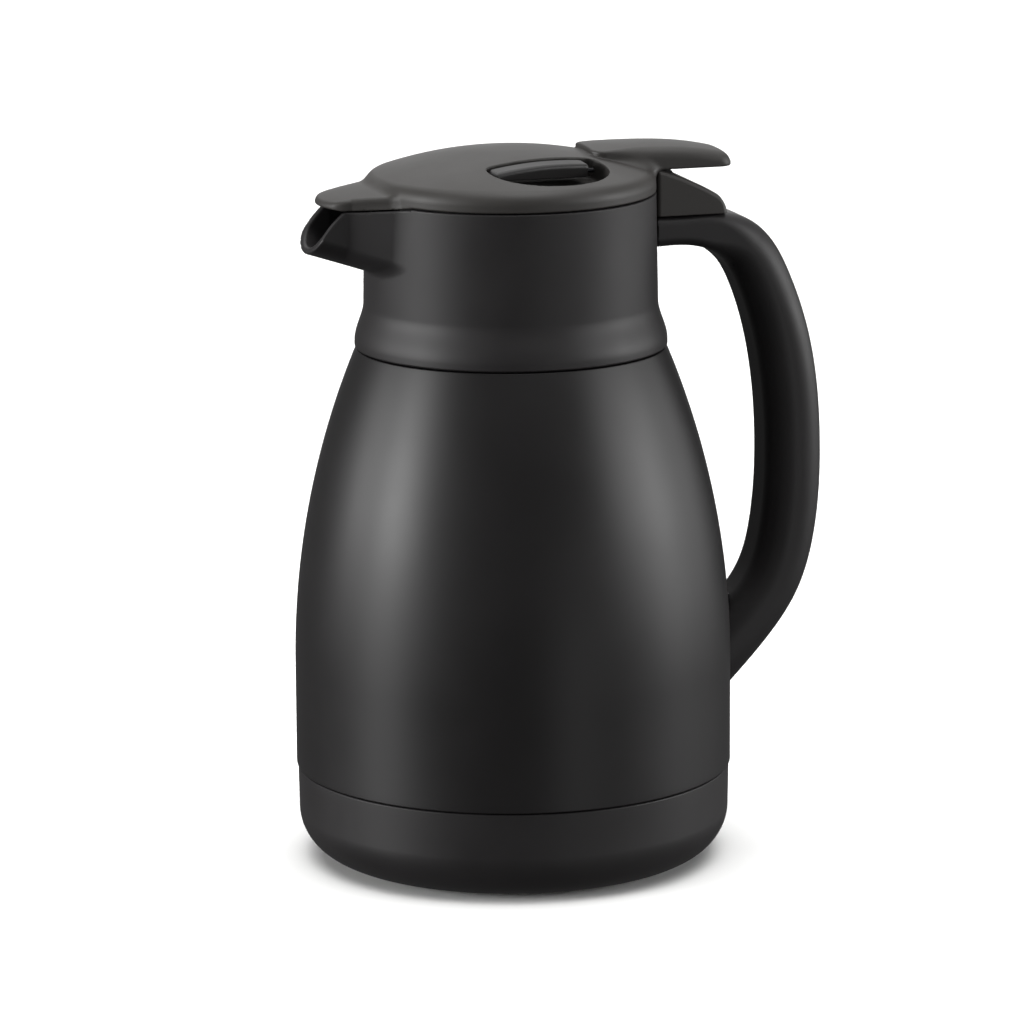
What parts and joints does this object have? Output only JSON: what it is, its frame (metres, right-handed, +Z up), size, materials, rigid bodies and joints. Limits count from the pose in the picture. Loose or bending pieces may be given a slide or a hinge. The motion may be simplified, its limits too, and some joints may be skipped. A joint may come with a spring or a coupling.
{
  "type": "thermal carafe with flip lid",
  "caption": "Double-walled insulated carafe with a tapering round body, a dark collar with a lipped spout, a side handle and a hinged domed lid opened by a thumb lever.",
  "frame": {"origin": "centre of the round base on the surface it stands on", "axes": "+Z up; the spout points along -X and the handle along +X"},
  "size_m": [0.1752, 0.1422, 0.2328],
  "materials": {
    "satin_body": "satin dark graphite coating on steel",
    "flask_steel": "brushed",
    "foil": "bright foil",
    "dark_plastic": "fine matt dark graphite",
    "warm_plastic": "fine matt warm grey",
    "tab_plastic": "fine matt grey",
    "plug_plastic": "matt",
    "plug_foam": "foam",
    "screw_steel": "plain steel",
    "pad_rubber": "matt",
    "seal_rubber": "soft silicone"
  },
  "bodies": {
    "carafe": {"outer_shell": "satin_body", "inner_flask": "flask_steel", "radiation_foil": "foil", "outer_bottom": "flask_steel", "vacuum_seal": "flask_steel", "base_cover": "dark_plastic", "base_pad": "pad_rubber", "shoulder_collar": "dark_plastic", "neck_seal": "seal_rubber", "handle_shell": "dark_plastic", "handle_liner": "dark_plastic", "handle_bracket": "flask_steel", "handle_screw": "screw_steel", "hinge_block": "warm_plastic", "arm_screws": "screw_steel"},
    "lift_pin": {"hinge_pin": "screw_steel"},
    "lid": {"lid_cover": "warm_plastic", "lid_plate": "dark_plastic", "thumb_lever": "warm_plastic", "lever_screws": "screw_steel", "plug_body": "plug_plastic", "plug_foam": "plug_foam", "plug_screws": "screw_steel", "plug_gasket": "seal_rubber", "tab_pin": "screw_steel"},
    "tab": {"release_tab": "tab_plastic"}
  },
  "joints": [
    {"name": "lid_lift", "type": "slide", "parent": "carafe", "child": "lift_pin", "axis": [0, 0, 1], "range_m": [0, 0.045]},
    {"name": "lid_flip", "type": "hinge", "parent": "lift_pin", "child": "lid", "pos_m": [0.0505, 0, 0.2215], "axis": [0, 1, 0], "range_deg": [0, 28]},
    {"name": "tab_rock", "type": "hinge", "parent": "lid", "child": "tab", "pos_m": [0.00452, -0.02264, 0.22773], "axis": [-0.9714, -0.2337, 0.0431], "range_deg": [0, 25]}
  ]
}
